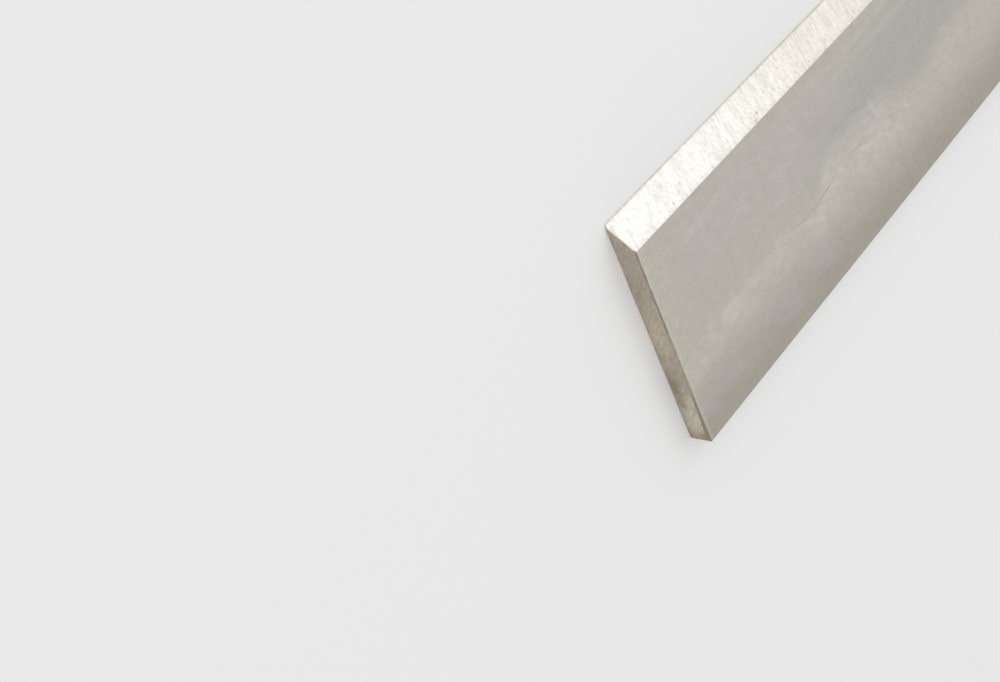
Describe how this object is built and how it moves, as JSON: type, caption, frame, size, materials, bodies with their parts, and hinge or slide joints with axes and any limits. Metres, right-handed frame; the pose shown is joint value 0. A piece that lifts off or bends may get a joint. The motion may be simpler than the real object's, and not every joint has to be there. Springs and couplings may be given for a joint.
{
  "type": "planer knife",
  "caption": "Straight planer knife, a flat bar of ground steel with a sharp bevelled cutting edge along its length, a rounded spine and square ends.",
  "frame": {"origin": "middle of the back face, the face that seats in the cutter block's slot and on which the knife lies", "axes": "+X along the knife, +Y from the spine to the cutting edge, +Z out of the front face, on the bevel's side"},
  "size_m": [0.31, 0.03, 0.003],
  "materials": {
    "ground_steel": "surface ground to a satin, with grinding lines across the bevel and faint dried oil marks on the faces"
  },
  "bodies": {
    "root": {"planer_knife": "ground_steel"}
  },
  "joints": []
}
